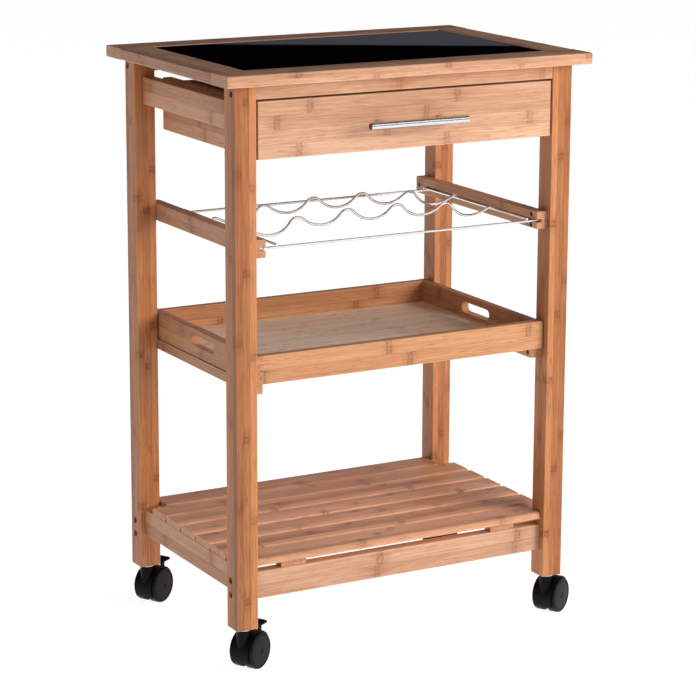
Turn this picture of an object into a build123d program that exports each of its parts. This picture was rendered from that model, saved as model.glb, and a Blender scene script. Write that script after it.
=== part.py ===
"""Kitchen island cart: bamboo frame on four swivel casters, glass-covered top,
one drawer, a wire bottle rack, a lift-out tray and a slatted bottom shelf.

Millimetres.  +X is the cart's right side, +Y its back, +Z up.  The drawer faces -Y.
Everything is drawn about the middle of the tabletop, at floor level, and moved by
ORIGIN_SHIFT as it is saved, so that the part's origin lies on the floor under the
middle of its overall width and depth, the drawer handle and the casters included.
"""
from build123d import *
import math
import os

# ---------------------------------------------------------------- driving sizes
TOP_WIDTH = 570.0
TOP_DEPTH = 390.0
TOTAL_HEIGHT = 832.0
TOP_THICKNESS = 16.0
TOP_EDGE = 2.5
ORIGIN_SHIFT = (-6.5, 5.5, 0.0)

# tabletop: a flat frame, a panel let into its inner edges and glass on the panel
FRAME_FRONT_WIDTH = 50.0
FRAME_SIDE_WIDTH = 48.0
PANEL_THICKNESS = 6.0
PANEL_TONGUE = 6.0
GLASS_THICKNESS = 5.5
GLASS_GAP = 0.5

# legs
LEG = 32.0
LEG_INSET_X = 20.0
LEG_FRONT_Y = -175.0
LEG_BACK_Y = 176.0
LEG_BOTTOM_Z = 63.0

# rails between the legs
RAIL_THICKNESS = 18.0
RAIL_HEIGHT = 39.0
UPPER_SIDE_RAIL_Z = 751.0
LOWER_SIDE_RAIL_Z = 111.5
LOWER_SIDE_RAIL_INSET = 8.5
TOP_RAIL_HEIGHT = 20.0
TOP_RAIL_DEPTH = 20.0
TOP_RAIL_FRONT_Y = -173.5
TOP_RAIL_BACK_Y = 157.0
SHELF_RAIL_Z = 101.5
SHELF_RAIL_FRONT_Y = -163.0
SHELF_RAIL_BACK_Y = 153.0

# slatted shelf
SLAT_COUNT = 7
SLAT_WIDTH = 44.5
SLAT_GAP = 4.0
SLAT_THICKNESS = 10.0
SLAT_EDGE = 4.0
BATTEN_WIDTH = 39.0
BATTEN_CENTRE_X = 170.5
BATTEN_THICKNESS = 10.0
BATTEN_FRONT_Y = -161.0
BATTEN_BACK_Y = 169.0

# drawer
DRAWER_FRONT_Y = -174.0
DRAWER_FRONT_THICKNESS = 16.0
DRAWER_FRONT_HALF_WIDTH = 230.5
DRAWER_BOTTOM_Z = 715.5
DRAWER_FRONT_HEIGHT = 78.0
DRAWER_SIDE_OUTER_X = 228.0
DRAWER_SIDE_THICKNESS = 14.0
DRAWER_SIDE_HEIGHT = 74.5
DRAWER_BACK_Y = 128.0
DRAWER_BACK_HEIGHT = 58.0
DRAWER_FLOOR_LIFT = 6.5
DRAWER_FLOOR_THICKNESS = 4.0
DRAWER_FLOOR_TONGUE = 5.0
RUNNER_SIZE = 10.0
RUNNER_Z = 760.0
RUNNER_FRONT_Y = -140.0
RUNNER_BACK_Y = 125.0
SLIDE_CLEARANCE = 0.3

# bar handle
HANDLE_SPACING = 96.0
HANDLE_LENGTH = 153.0
HANDLE_BAR_D = 10.5
HANDLE_POST_D = 8.0
HANDLE_REACH = 30.0
HANDLE_Z = 754.0

# wire bottle rack and its two grooved rails
RACK_RAIL_DEPTH = 17.0
RACK_RAIL_Z = 581.5
RACK_RAIL_HEIGHT = 25.0
RACK_RAIL_FRONT_Y = -167.0
RACK_RAIL_BACK_Y = 171.0
GROOVE_Z = 590.5
GROOVE_HEIGHT = 5.0
GROOVE_DEPTH = 8.0
GROOVE_BACK_Y = 140.0
WIRE_D = 3.6
RACK_SHIFT_X = 3.0
RACK_HALF_LENGTH = 220.0
RACK_HALF_SPAN = 200.0
RACK_FRONT_Y = -160.0
RACK_BACK_Y = 125.0
WAVE_FRONT_Y = -69.0
WAVE_BACK_Y = 33.0
BOTTLE_PITCH = 80.0
# heights of the wave's turning points above the straight wires' centre line,
# from the middle trough out to the end that lies on the side wire
WAVE_HEIGHTS = (6.0, 23.0, 4.5, 18.5, -3.0, 2 * WIRE_D)
WAVE_TROUGH_SHARE = 0.74

# lift-out tray and the two rails it stands on
TRAY_RAIL_Z = 391.0
TRAY_RAIL_HEIGHT = 14.7
TRAY_RAIL_FRONT_Y = -157.0
TRAY_Z = 406.0
TRAY_HEIGHT = 40.0
TRAY_HALF_WIDTH = 231.0
TRAY_FRONT_Y = -165.0
TRAY_BACK_Y = 166.0
TRAY_WALL = 12.0
TRAY_FLOOR_Z = 409.0
TRAY_FLOOR_THICKNESS = 5.0
TRAY_FLOOR_TONGUE = 4.0
FINGER_COUNT = 7
HAND_HOLE_LENGTH = 78.0
HAND_HOLE_HEIGHT = 16.0
HAND_HOLE_Z = 429.0

# fasteners
BOLT_D = 6.0
BOLT_HOLE_D = 6.4
BOLT_HEAD_D = 9.0
BOLT_HEAD_LENGTH = 4.5
BOLT_LENGTH = 50.0
BOLT_SINK_D = 9.6
BOLT_SINK_DEPTH = 8.0
HEX_KEY = 4.0
NUT_D = 10.0
NUT_LENGTH = 15.0
SHELF_BOLT_SPACING = 20.0
DOWEL_D = 8.0
DOWEL_LENGTH = 30.0
SCREW_D = 3.5
SCREW_HEAD_D = 7.0
SCREW_HEAD_LENGTH = 2.4

# twin-wheel casters
CASTER_ANGLE = 30.0
CASTER_TRAIL = 18.0
WHEEL_R = 26.0
WHEEL_INNER_Y = 4.2
WHEEL_OUTER_Y = 18.4
AXLE_R = 3.0
AXLE_CLEARANCE = 0.05
AXLE_HALF_LENGTH = 16.4
HOOD_R = 28.2
HOOD_WALL = 1.7
HOOD_HALF_WIDTH = 14.4
HOOD_WEB = 7.0
HOOD_TOP_Z = 59.0
STEM_R = 4.0
STEM_HEIGHT_IN_LEG = 32.0
STEM_FOOT_Z = 48.0
STEM_FLANGE_R = 11.0
STEM_FLANGE_T = 3.0
BRAKE_X = 29.0
BRAKE_Z = 55.2
BRAKE_BARREL_R = 2.4
BRAKE_PIN_R = 1.4
BRAKE_HALF_WIDTH = 7.0
BRAKE_TIP_HALF_WIDTH = 11.0
BRAKE_REACH = 19.0
BRAKE_RISE_DEG = 13.0
BRAKE_PLATE = 2.4
LUG_INNER_Y = 7.4
LUG_OUTER_Y = 10.0

# ---------------------------------------------------------------- derived sizes
TOP_BOTTOM_Z = TOTAL_HEIGHT - TOP_THICKNESS
LEG_OUTER_X = TOP_WIDTH / 2 - LEG_INSET_X
LEG_INNER_X = LEG_OUTER_X - LEG
LEG_CENTRE_X = LEG_OUTER_X - LEG / 2
LEG_CENTRE_Y = {"front": LEG_FRONT_Y + LEG / 2, "back": LEG_BACK_Y - LEG / 2}
BAY_FRONT_Y = LEG_FRONT_Y + LEG
BAY_BACK_Y = LEG_BACK_Y - LEG
INNER_Y = TOP_DEPTH / 2 - FRAME_FRONT_WIDTH
INNER_X = TOP_WIDTH / 2 - FRAME_SIDE_WIDTH
PANEL_Z = TOTAL_HEIGHT - PANEL_THICKNESS - PANEL_TONGUE
SLAT_Z = LOWER_SIDE_RAIL_Z + RAIL_HEIGHT
SLAT_PITCH = SLAT_WIDTH + SLAT_GAP
RAIL_INNER_X = LEG_INNER_X - RACK_RAIL_DEPTH
WIRE_R = WIRE_D / 2
WIRE_Z = GROOVE_Z + GROOVE_HEIGHT / 2
TOP_BOLT_Z = TOP_BOTTOM_Z - 11.5
SHELF_BOLT_Z = SHELF_RAIL_Z + RAIL_HEIGHT / 2
EDGE = 1.5
SMALL_EDGE = 0.8
SIDES = {"left": -1.0, "right": 1.0}
BOLT_SEAT_X = LEG_OUTER_X - BOLT_SINK_DEPTH
BOLT_TIP_X = BOLT_SEAT_X - BOLT_LENGTH
NUT_X = BOLT_TIP_X + 5.0

os.makedirs("parts", exist_ok=True)


# ---------------------------------------------------------------- helpers
def block(x0, x1, y0, y1, z0, z1):
    """Box between two corners."""
    size = (abs(x1 - x0), abs(y1 - y0), abs(z1 - z0))
    return Pos((x0 + x1) / 2, (y0 + y1) / 2, (z0 + z1) / 2) * Box(*size)


def board(x0, x1, y0, y1, z0, z1, axis, radius=EDGE):
    """Board with its four long edges rounded."""
    solid = block(x0, x1, y0, y1, z0, z1)
    return fillet(solid.edges().filter_by(axis), radius)


def rod(start, end, radius):
    """Round rod between two points."""
    line = Vector(*end) - Vector(*start)
    plane = Plane(origin=start, z_dir=line.normalized())
    return extrude(plane * Circle(radius), line.length)


def flip(shape):
    """The same piece on the cart's other side."""
    return mirror(shape, about=Plane.YZ)


def on_side(shape, side):
    """A piece drawn on the right, taken to the named side."""
    return shape if side == "right" else flip(shape)


def save(name, *solids):
    """Write one node."""
    shape = solids[0] if len(solids) == 1 else Compound(list(solids))
    export_step(Pos(*ORIGIN_SHIFT) * shape, f"parts/{name}.step")


def wood_screw(head, tip):
    """Countersunk screw with a cross recess, from the middle of its head to its tip."""
    line = (Vector(*tip) - Vector(*head)).normalized()
    plane = Plane(origin=head, z_dir=line)
    cone = loft([
        plane * Circle(SCREW_HEAD_D / 2),
        plane.offset(SCREW_HEAD_LENGTH) * Circle(SCREW_D / 2),
    ])
    shank = rod(head, tip, SCREW_D / 2)
    slots = extrude(plane * Rectangle(4.0, 0.9), 1.2) + extrude(plane * Rectangle(0.9, 4.0), 1.2)
    return cone + shank, (cone + shank) - slots


def rack_rail_screws():
    """Head and tip of each screw that holds a bottle-rack rail, on the right side."""
    front_y = RACK_RAIL_FRONT_Y + 15.5
    spots = (
        (front_y, RACK_RAIL_Z + 19.5),
        (front_y, RACK_RAIL_Z + 4.5),
        (RACK_RAIL_BACK_Y - 8.0, RACK_RAIL_Z + 12.5),
    )
    return [((RAIL_INNER_X, y, z), (LEG_INNER_X + 13.0, y, z)) for y, z in spots]


def tray_rail_screws():
    """Head and tip of each screw that holds a tray rail, on the right side."""
    z = TRAY_RAIL_Z + TRAY_RAIL_HEIGHT / 2
    spots = (TRAY_RAIL_FRONT_Y + 7.5, RACK_RAIL_BACK_Y - 8.0)
    return [((RAIL_INNER_X, y, z), (LEG_INNER_X + 13.0, y, z)) for y in spots]


def runner_screws():
    """Head and tip of each screw that holds a drawer runner, on the right side."""
    z = RUNNER_Z + RUNNER_SIZE / 2
    head_x = LEG_INNER_X - RUNNER_SIZE
    return [((head_x, y, z), (LEG_INNER_X + 12.0, y, z)) for y in (-120.0, -7.0, 105.0)]


def slat_screws():
    """Head and tip of each screw that goes up through a batten into a slat."""
    bottom = SLAT_Z - BATTEN_THICKNESS
    return [
        ((x, y, bottom), (x, y, bottom + 17.0))
        for x in (-BATTEN_CENTRE_X, BATTEN_CENTRE_X)
        for y in SLAT_CENTRES
    ]


def top_screws():
    """Head and tip of each screw that goes up through a top rail into the tabletop."""
    bottom = TOP_BOTTOM_Z - TOP_RAIL_HEIGHT
    return [
        ((x, y + TOP_RAIL_DEPTH / 2, bottom), (x, y + TOP_RAIL_DEPTH / 2, bottom + 31.0))
        for x in (-150.0, 0.0, 150.0)
        for y in (TOP_RAIL_FRONT_Y, TOP_RAIL_BACK_Y)
    ]


def drill(shape, screws):
    """Take the screws' own shapes out of a piece."""
    for head, tip in screws:
        shape -= wood_screw(head, tip)[0]
    return shape


def bolt_lines():
    """(y, z) of every bolt that ties a leg to a cross rail, by the row of legs."""
    low = SHELF_BOLT_Z - SHELF_BOLT_SPACING / 2
    high = SHELF_BOLT_Z + SHELF_BOLT_SPACING / 2
    shelf_y = {
        "front": SHELF_RAIL_FRONT_Y + RAIL_THICKNESS / 2,
        "back": SHELF_RAIL_BACK_Y + RAIL_THICKNESS / 2,
    }
    top_y = {
        "front": TOP_RAIL_FRONT_Y + TOP_RAIL_DEPTH / 2,
        "back": TOP_RAIL_BACK_Y + TOP_RAIL_DEPTH / 2,
    }
    return {
        row: [(top_y[row], TOP_BOLT_Z), (shelf_y[row], low), (shelf_y[row], high)]
        for row in ("front", "back")
    }


def side_rail_dowels():
    """Both ends of each dowel between a leg and a side rail, on the right side."""
    upper_x = LEG_INNER_X + RAIL_THICKNESS / 2
    lower_x = LEG_OUTER_X - LOWER_SIDE_RAIL_INSET - RAIL_THICKNESS / 2
    half = DOWEL_LENGTH / 2
    ends = []
    for y in (BAY_FRONT_Y, BAY_BACK_Y):
        for x, z in (
            (upper_x, UPPER_SIDE_RAIL_Z + 9.5),
            (upper_x, UPPER_SIDE_RAIL_Z + 29.5),
            (lower_x, LOWER_SIDE_RAIL_Z + 9.5),
            (lower_x, LOWER_SIDE_RAIL_Z + 29.5),
        ):
            ends.append(((x, y - half, z), (x, y + half, z)))
    return ends


def leg_top_dowels():
    """Both ends of each dowel from a leg up into the tabletop, on the right side."""
    inset = 7.5
    return [
        ((LEG_CENTRE_X, y, TOP_BOTTOM_Z - 18.0), (LEG_CENTRE_X, y, TOP_BOTTOM_Z + 10.0))
        for y in (BAY_FRONT_Y - inset, BAY_BACK_Y + inset)
    ]


def top_frame_dowels():
    """Both ends of each dowel at the tabletop's corner joints, on the right side."""
    half = DOWEL_LENGTH / 2
    z = TOP_BOTTOM_Z + TOP_THICKNESS / 2
    return [
        ((INNER_X + offset, y - half, z), (INNER_X + offset, y + half, z))
        for offset in (14.0, 36.0)
        for y in (-INNER_Y, INNER_Y)
    ]


ALL_DOWELS = side_rail_dowels() + leg_top_dowels() + top_frame_dowels()
SLAT_CENTRES = [
    (index - (SLAT_COUNT - 1) / 2) * SLAT_PITCH for index in range(SLAT_COUNT)
]


def bore_dowels(shape):
    """Take every dowel of the right side out of a piece."""
    for start, end in ALL_DOWELS:
        shape -= rod(start, end, DOWEL_D / 2)
    return shape


# ---------------------------------------------------------------- legs
def leg(row):
    """Right-hand leg of one row, with all its holes."""
    y0 = LEG_CENTRE_Y[row] - LEG / 2
    solid = board(LEG_INNER_X, LEG_OUTER_X, y0, y0 + LEG, LEG_BOTTOM_Z, TOP_BOTTOM_Z, Axis.Z)
    for y, z in bolt_lines()[row]:
        solid -= rod((LEG_INNER_X, y, z), (LEG_OUTER_X, y, z), BOLT_HOLE_D / 2)
        solid -= rod((BOLT_SEAT_X, y, z), (LEG_OUTER_X, y, z), BOLT_SINK_D / 2)
    solid = bore_dowels(solid)
    solid = drill(solid, rack_rail_screws() + tray_rail_screws())
    foot = (LEG_CENTRE_X, LEG_CENTRE_Y[row], LEG_BOTTOM_Z)
    solid -= rod(foot, (foot[0], foot[1], foot[2] + STEM_HEIGHT_IN_LEG), STEM_R)
    return solid


for row in ("front", "back"):
    right_leg = leg(row)
    for side in SIDES:
        save(f"leg_{row}_{side}", on_side(right_leg, side))

# ---------------------------------------------------------------- side rails
upper_rail = board(
    LEG_INNER_X, LEG_INNER_X + RAIL_THICKNESS, BAY_FRONT_Y, BAY_BACK_Y,
    UPPER_SIDE_RAIL_Z, UPPER_SIDE_RAIL_Z + RAIL_HEIGHT, Axis.Y)
upper_rail = drill(bore_dowels(upper_rail), runner_screws())
lower_outer_x = LEG_OUTER_X - LOWER_SIDE_RAIL_INSET
lower_rail = board(
    lower_outer_x - RAIL_THICKNESS, lower_outer_x, BAY_FRONT_Y, BAY_BACK_Y,
    LOWER_SIDE_RAIL_Z, LOWER_SIDE_RAIL_Z + RAIL_HEIGHT, Axis.Y)
lower_rail = bore_dowels(lower_rail)
for side in SIDES:
    save(f"side_rail_upper_{side}", on_side(upper_rail, side))
    save(f"side_rail_lower_{side}", on_side(lower_rail, side))


# ---------------------------------------------------------------- cross rails
def cross_rail(y0, depth, z0, height, bolts, nut_axis):
    """Rail between two legs, bored at both ends for its bolts and barrel nuts."""
    solid = board(-LEG_INNER_X, LEG_INNER_X, y0, y0 + depth, z0, z0 + height, Axis.X)
    for y, z in bolts:
        for sign in SIDES.values():
            solid -= rod((sign * (BOLT_TIP_X - 1), y, z), (sign * LEG_INNER_X, y, z),
                         BOLT_HOLE_D / 2)
            solid -= barrel_nut_blank(sign, y, z, nut_axis)
    return solid


def nut_ends(sign, y, z, nut_axis):
    """Both ends of a barrel nut: upright in a top rail, front to back in a shelf rail."""
    if nut_axis == "z":
        return (sign * NUT_X, y, z - NUT_LENGTH / 2), (sign * NUT_X, y, z + NUT_LENGTH / 2)
    return (sign * NUT_X, y - NUT_LENGTH / 2, z), (sign * NUT_X, y + NUT_LENGTH / 2, z)


def barrel_nut_blank(sign, y, z, nut_axis):
    """The barrel nut before its thread is bored."""
    return rod(*nut_ends(sign, y, z, nut_axis), NUT_D / 2)


LINES = bolt_lines()
for row, y0 in (("front", TOP_RAIL_FRONT_Y), ("back", TOP_RAIL_BACK_Y)):
    rail = cross_rail(y0, TOP_RAIL_DEPTH, TOP_BOTTOM_Z - TOP_RAIL_HEIGHT, TOP_RAIL_HEIGHT,
                      LINES[row][:1], "z")
    save(f"top_rail_{row}", drill(rail, top_screws()))
for row, y0 in (("front", SHELF_RAIL_FRONT_Y), ("back", SHELF_RAIL_BACK_Y)):
    save(f"shelf_rail_{row}",
         cross_rail(y0, RAIL_THICKNESS, SHELF_RAIL_Z, RAIL_HEIGHT, LINES[row][1:], "y"))

# ---------------------------------------------------------------- tabletop
panel = block(-INNER_X - PANEL_TONGUE, INNER_X + PANEL_TONGUE,
              -INNER_Y - PANEL_TONGUE, INNER_Y + PANEL_TONGUE,
              PANEL_Z, PANEL_Z + PANEL_THICKNESS)
save("top_panel", panel)


def top_member(x0, x1, y0, y1, axis, outer):
    """One member of the tabletop frame, grooved for the panel."""
    solid = block(x0, x1, y0, y1, TOP_BOTTOM_Z, TOTAL_HEIGHT)
    rounded = solid.edges().filter_by(axis).sort_by(outer)[-2:]
    solid = fillet(rounded, TOP_EDGE) - panel
    for sign in SIDES.values():
        for start, end in ALL_DOWELS:
            solid -= rod((sign * start[0], *start[1:]), (sign * end[0], *end[1:]), DOWEL_D / 2)
    return drill(solid, top_screws())


half_x = TOP_WIDTH / 2
half_y = TOP_DEPTH / 2
save("top_frame_front", top_member(-half_x, half_x, -half_y, -INNER_Y, Axis.X, -Axis.Y))
save("top_frame_back", top_member(-half_x, half_x, INNER_Y, half_y, Axis.X, Axis.Y))
save("top_frame_left", top_member(-half_x, -INNER_X, -INNER_Y, INNER_Y, Axis.Y, -Axis.X))
save("top_frame_right", top_member(INNER_X, half_x, -INNER_Y, INNER_Y, Axis.Y, Axis.X))

glass_z = PANEL_Z + PANEL_THICKNESS
glass = block(-INNER_X + GLASS_GAP, INNER_X - GLASS_GAP, -INNER_Y + GLASS_GAP,
              INNER_Y - GLASS_GAP, glass_z, glass_z + GLASS_THICKNESS)
glass = chamfer(glass.faces().sort_by(Axis.Z)[-1].edges(), SMALL_EDGE)
save("glass_top", glass)

# ---------------------------------------------------------------- drawer runners
runner = board(LEG_INNER_X - RUNNER_SIZE, LEG_INNER_X, RUNNER_FRONT_Y, RUNNER_BACK_Y,
               RUNNER_Z, RUNNER_Z + RUNNER_SIZE, Axis.Y, SMALL_EDGE)
runner = drill(runner, runner_screws())
for side in SIDES:
    save(f"drawer_runner_{side}", on_side(runner, side))

# ---------------------------------------------------------------- drawer
box_front_y = DRAWER_FRONT_Y + DRAWER_FRONT_THICKNESS
side_inner_x = DRAWER_SIDE_OUTER_X - DRAWER_SIDE_THICKNESS
floor_z = DRAWER_BOTTOM_Z + DRAWER_FLOOR_LIFT
drawer_floor = block(-side_inner_x - DRAWER_FLOOR_TONGUE, side_inner_x + DRAWER_FLOOR_TONGUE,
                     box_front_y - DRAWER_FLOOR_TONGUE, DRAWER_BACK_Y,
                     floor_z, floor_z + DRAWER_FLOOR_THICKNESS)
save("drawer_floor", drawer_floor)


def handle_screw(x):
    """Machine screw from inside the drawer into one handle post."""
    head = rod((x, box_front_y + 2.6, HANDLE_Z), (x, box_front_y, HANDLE_Z), 4.0)
    shank = rod((x, box_front_y, HANDLE_Z), (x, DRAWER_FRONT_Y - 14.0, HANDLE_Z), 2.0)
    slot = extrude(Plane(origin=(x, box_front_y + 2.6, HANDLE_Z), z_dir=(0, -1, 0))
                   * (Rectangle(5.0, 1.0) + Rectangle(1.0, 5.0)), 1.3)
    return head + shank - slot


handle_x = (-HANDLE_SPACING / 2, HANDLE_SPACING / 2)
screws = [handle_screw(x) for x in handle_x]
save("handle_screws", *screws)

front = block(-DRAWER_FRONT_HALF_WIDTH, DRAWER_FRONT_HALF_WIDTH, DRAWER_FRONT_Y, box_front_y,
              DRAWER_BOTTOM_Z, DRAWER_BOTTOM_Z + DRAWER_FRONT_HEIGHT)
front = fillet(front.faces().sort_by(Axis.Y)[0].edges(), 1.2) - drawer_floor
for x in handle_x:
    front -= rod((x, DRAWER_FRONT_Y, HANDLE_Z), (x, box_front_y, HANDLE_Z), 2.0)
DRAWER_DOWELS = [
    ((sign * (DRAWER_SIDE_OUTER_X - 7.0), box_front_y - 9.0, z),
     (sign * (DRAWER_SIDE_OUTER_X - 7.0), box_front_y + 13.0, z))
    for sign in SIDES.values()
    for z in (DRAWER_BOTTOM_Z + 22.0, DRAWER_BOTTOM_Z + 64.0)
]
dowel_solids = [rod(start, end, 3.0) for start, end in DRAWER_DOWELS]
for solid in dowel_solids:
    front -= solid
save("drawer_front", front)
save("drawer_dowels", *dowel_solids)

drawer_side = board(side_inner_x, DRAWER_SIDE_OUTER_X, box_front_y, DRAWER_BACK_Y,
                    DRAWER_BOTTOM_Z, DRAWER_BOTTOM_Z + DRAWER_SIDE_HEIGHT, Axis.Y, 1.0)
drawer_side -= block(LEG_INNER_X - RUNNER_SIZE - SLIDE_CLEARANCE, LEG_INNER_X,
                     RUNNER_FRONT_Y - SLIDE_CLEARANCE, DRAWER_BACK_Y,
                     RUNNER_Z - SLIDE_CLEARANCE, RUNNER_Z + RUNNER_SIZE + SLIDE_CLEARANCE)
drawer_side -= drawer_floor
for solid in dowel_solids:
    drawer_side -= solid
for side in SIDES:
    save(f"drawer_side_{side}", on_side(drawer_side, side))

back_z = floor_z + DRAWER_FLOOR_THICKNESS
save("drawer_back",
     board(-side_inner_x, side_inner_x, DRAWER_BACK_Y - DRAWER_SIDE_THICKNESS, DRAWER_BACK_Y,
           back_z, back_z + DRAWER_BACK_HEIGHT, Axis.X, 1.0))

bar_y = DRAWER_FRONT_Y - HANDLE_REACH
handle = rod((-HANDLE_LENGTH / 2, bar_y, HANDLE_Z), (HANDLE_LENGTH / 2, bar_y, HANDLE_Z),
             HANDLE_BAR_D / 2)
handle = chamfer(handle.edges().filter_by(GeomType.CIRCLE), 0.4)
for x in handle_x:
    handle += rod((x, bar_y, HANDLE_Z), (x, DRAWER_FRONT_Y, HANDLE_Z), HANDLE_POST_D / 2)
for solid in screws:
    handle -= solid
save("drawer_handle", handle)

# ---------------------------------------------------------------- bottle rack
rack_rail = board(RAIL_INNER_X, LEG_INNER_X, RACK_RAIL_FRONT_Y, RACK_RAIL_BACK_Y,
                  RACK_RAIL_Z, RACK_RAIL_Z + RACK_RAIL_HEIGHT, Axis.Y, SMALL_EDGE)
rack_rail -= block(RAIL_INNER_X, RAIL_INNER_X + GROOVE_DEPTH, RACK_RAIL_FRONT_Y, GROOVE_BACK_Y,
                   GROOVE_Z, GROOVE_Z + GROOVE_HEIGHT)
rack_rail = drill(rack_rail, rack_rail_screws())
for side in SIDES:
    save(f"rack_rail_{side}", on_side(rack_rail, side))


def straight_wire(start, end):
    """Round wire with softened ends."""
    return fillet(rod(start, end, WIRE_R).edges().filter_by(GeomType.CIRCLE), SMALL_EDGE)


cross_wires = [
    straight_wire((RACK_SHIFT_X - RACK_HALF_LENGTH, y, WIRE_Z),
                  (RACK_SHIFT_X + RACK_HALF_LENGTH, y, WIRE_Z))
    for y in (RACK_FRONT_Y, RACK_BACK_Y)
]
side_wires = [
    straight_wire((RACK_SHIFT_X + sign * RACK_HALF_SPAN, RACK_FRONT_Y - WIRE_R, WIRE_Z + WIRE_D),
                  (RACK_SHIFT_X + sign * RACK_HALF_SPAN, RACK_BACK_Y + WIRE_R, WIRE_Z + WIRE_D))
    for sign in SIDES.values()
]
save("rack_frame_wires", *cross_wires, *side_wires)


def wave_points():
    """Turning points of the wavy wire from end to end, as (x, z)."""
    half = [(index * BOTTLE_PITCH / 2, WIRE_Z + rise) for index, rise in enumerate(WAVE_HEIGHTS)]
    return [(-x, z) for x, z in reversed(half[1:])] + half


def wave_half(start, end):
    """Two tangent arcs from one turning point to the next, level at both."""
    (x0, z0), (x1, z1) = start, end
    run = x1 - x0
    rise = abs(z1 - z0)
    turn = 2 * math.atan2(rise, run)
    radius_sum = run / math.sin(turn)
    up = 1.0 if z1 > z0 else -1.0
    share = WAVE_TROUGH_SHARE if up > 0 else 1 - WAVE_TROUGH_SHARE
    first = radius_sum * share
    second = radius_sum - first

    def point(x, z):
        return (RACK_SHIFT_X + x, z)

    half_turn = turn / 2
    joint = (x0 + first * math.sin(turn), z0 + up * first * (1 - math.cos(turn)))
    mid_one = (x0 + first * math.sin(half_turn), z0 + up * first * (1 - math.cos(half_turn)))
    mid_two = (x1 - second * math.sin(half_turn), z1 - up * second * (1 - math.cos(half_turn)))
    return [
        (point(x0, z0), point(*mid_one), point(*joint)),
        (point(*joint), point(*mid_two), point(x1, z1)),
    ]


def wave_wire(y):
    """Wavy wire that cradles the bottles, its ends resting on the two side wires."""
    arcs = []
    points = wave_points()
    for start, end in zip(points, points[1:]):
        for trio in wave_half(start, end):
            arcs.append(ThreePointArc(*[(x, y, z) for x, z in trio]))
    path = Wire(arcs)
    section = Plane(origin=path @ 0, z_dir=path % 0) * Circle(WIRE_R)
    return sweep(section, path=path)


save("rack_wave_front", wave_wire(WAVE_FRONT_Y))
save("rack_wave_back", wave_wire(WAVE_BACK_Y))

# ---------------------------------------------------------------- tray rails
tray_rail = board(RAIL_INNER_X, LEG_INNER_X, TRAY_RAIL_FRONT_Y, RACK_RAIL_BACK_Y,
                  TRAY_RAIL_Z, TRAY_RAIL_Z + TRAY_RAIL_HEIGHT, Axis.Y, SMALL_EDGE)
tray_rail = drill(tray_rail, tray_rail_screws())
save("tray_rails", tray_rail, flip(tray_rail))

# ---------------------------------------------------------------- tray
TRAY_TOP_Z = TRAY_Z + TRAY_HEIGHT
TRAY_INNER_X = TRAY_HALF_WIDTH - TRAY_WALL
TRAY_INNER_FRONT_Y = TRAY_FRONT_Y + TRAY_WALL
TRAY_INNER_BACK_Y = TRAY_BACK_Y - TRAY_WALL
tray_floor = block(-TRAY_INNER_X - TRAY_FLOOR_TONGUE, TRAY_INNER_X + TRAY_FLOOR_TONGUE,
                   TRAY_INNER_FRONT_Y - TRAY_FLOOR_TONGUE,
                   TRAY_INNER_BACK_Y + TRAY_FLOOR_TONGUE,
                   TRAY_FLOOR_Z, TRAY_FLOOR_Z + TRAY_FLOOR_THICKNESS)
save("tray_floor", tray_floor)


def finger_bands(first):
    """Height bands of every second corner finger, counted down from the top."""
    step = TRAY_HEIGHT / FINGER_COUNT
    return [
        (TRAY_TOP_Z - (index + 1) * step, TRAY_TOP_Z - index * step)
        for index in range(first, FINGER_COUNT, 2)
    ]


def tray_side_wall():
    """Right-hand tray wall: it keeps the top finger and has the hand hole."""
    solid = block(TRAY_INNER_X, TRAY_HALF_WIDTH, TRAY_FRONT_Y, TRAY_BACK_Y, TRAY_Z, TRAY_TOP_Z)
    solid = fillet(solid.edges().filter_by(Axis.Y).sort_by(Axis.Z)[-2:], EDGE)
    for z0, z1 in finger_bands(1):
        for y0, y1 in ((TRAY_FRONT_Y, TRAY_INNER_FRONT_Y), (TRAY_INNER_BACK_Y, TRAY_BACK_Y)):
            solid -= block(TRAY_INNER_X, TRAY_HALF_WIDTH, y0, y1, z0, z1)
    hole_plane = Plane(origin=(TRAY_INNER_X, 0, HAND_HOLE_Z), x_dir=(0, 1, 0), z_dir=(1, 0, 0))
    hole = hole_plane * SlotOverall(HAND_HOLE_LENGTH, HAND_HOLE_HEIGHT)
    return solid - extrude(hole, TRAY_WALL) - tray_floor


def tray_end_wall(y0):
    """Front or back tray wall, notched for the side walls' fingers."""
    solid = block(-TRAY_HALF_WIDTH, TRAY_HALF_WIDTH, y0, y0 + TRAY_WALL, TRAY_Z, TRAY_TOP_Z)
    solid = fillet(solid.edges().filter_by(Axis.X).sort_by(Axis.Z)[-2:], EDGE)
    for z0, z1 in finger_bands(0):
        for sign in SIDES.values():
            solid -= block(sign * TRAY_INNER_X, sign * TRAY_HALF_WIDTH, y0, y0 + TRAY_WALL, z0, z1)
    return solid - tray_floor


tray_side = tray_side_wall()
for side in SIDES:
    save(f"tray_wall_{side}", on_side(tray_side, side))
save("tray_wall_front", tray_end_wall(TRAY_FRONT_Y))
save("tray_wall_back", tray_end_wall(TRAY_INNER_BACK_Y))

# ---------------------------------------------------------------- slatted shelf
battens = []
for centre in (-BATTEN_CENTRE_X, BATTEN_CENTRE_X):
    batten = board(centre - BATTEN_WIDTH / 2, centre + BATTEN_WIDTH / 2,
                   BATTEN_FRONT_Y, BATTEN_BACK_Y, SLAT_Z - BATTEN_THICKNESS, SLAT_Z,
                   Axis.Y, SMALL_EDGE)
    battens.append(drill(batten, [s for s in slat_screws() if abs(s[0][0] - centre) < 1]))
save("shelf_battens", *battens)


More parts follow.
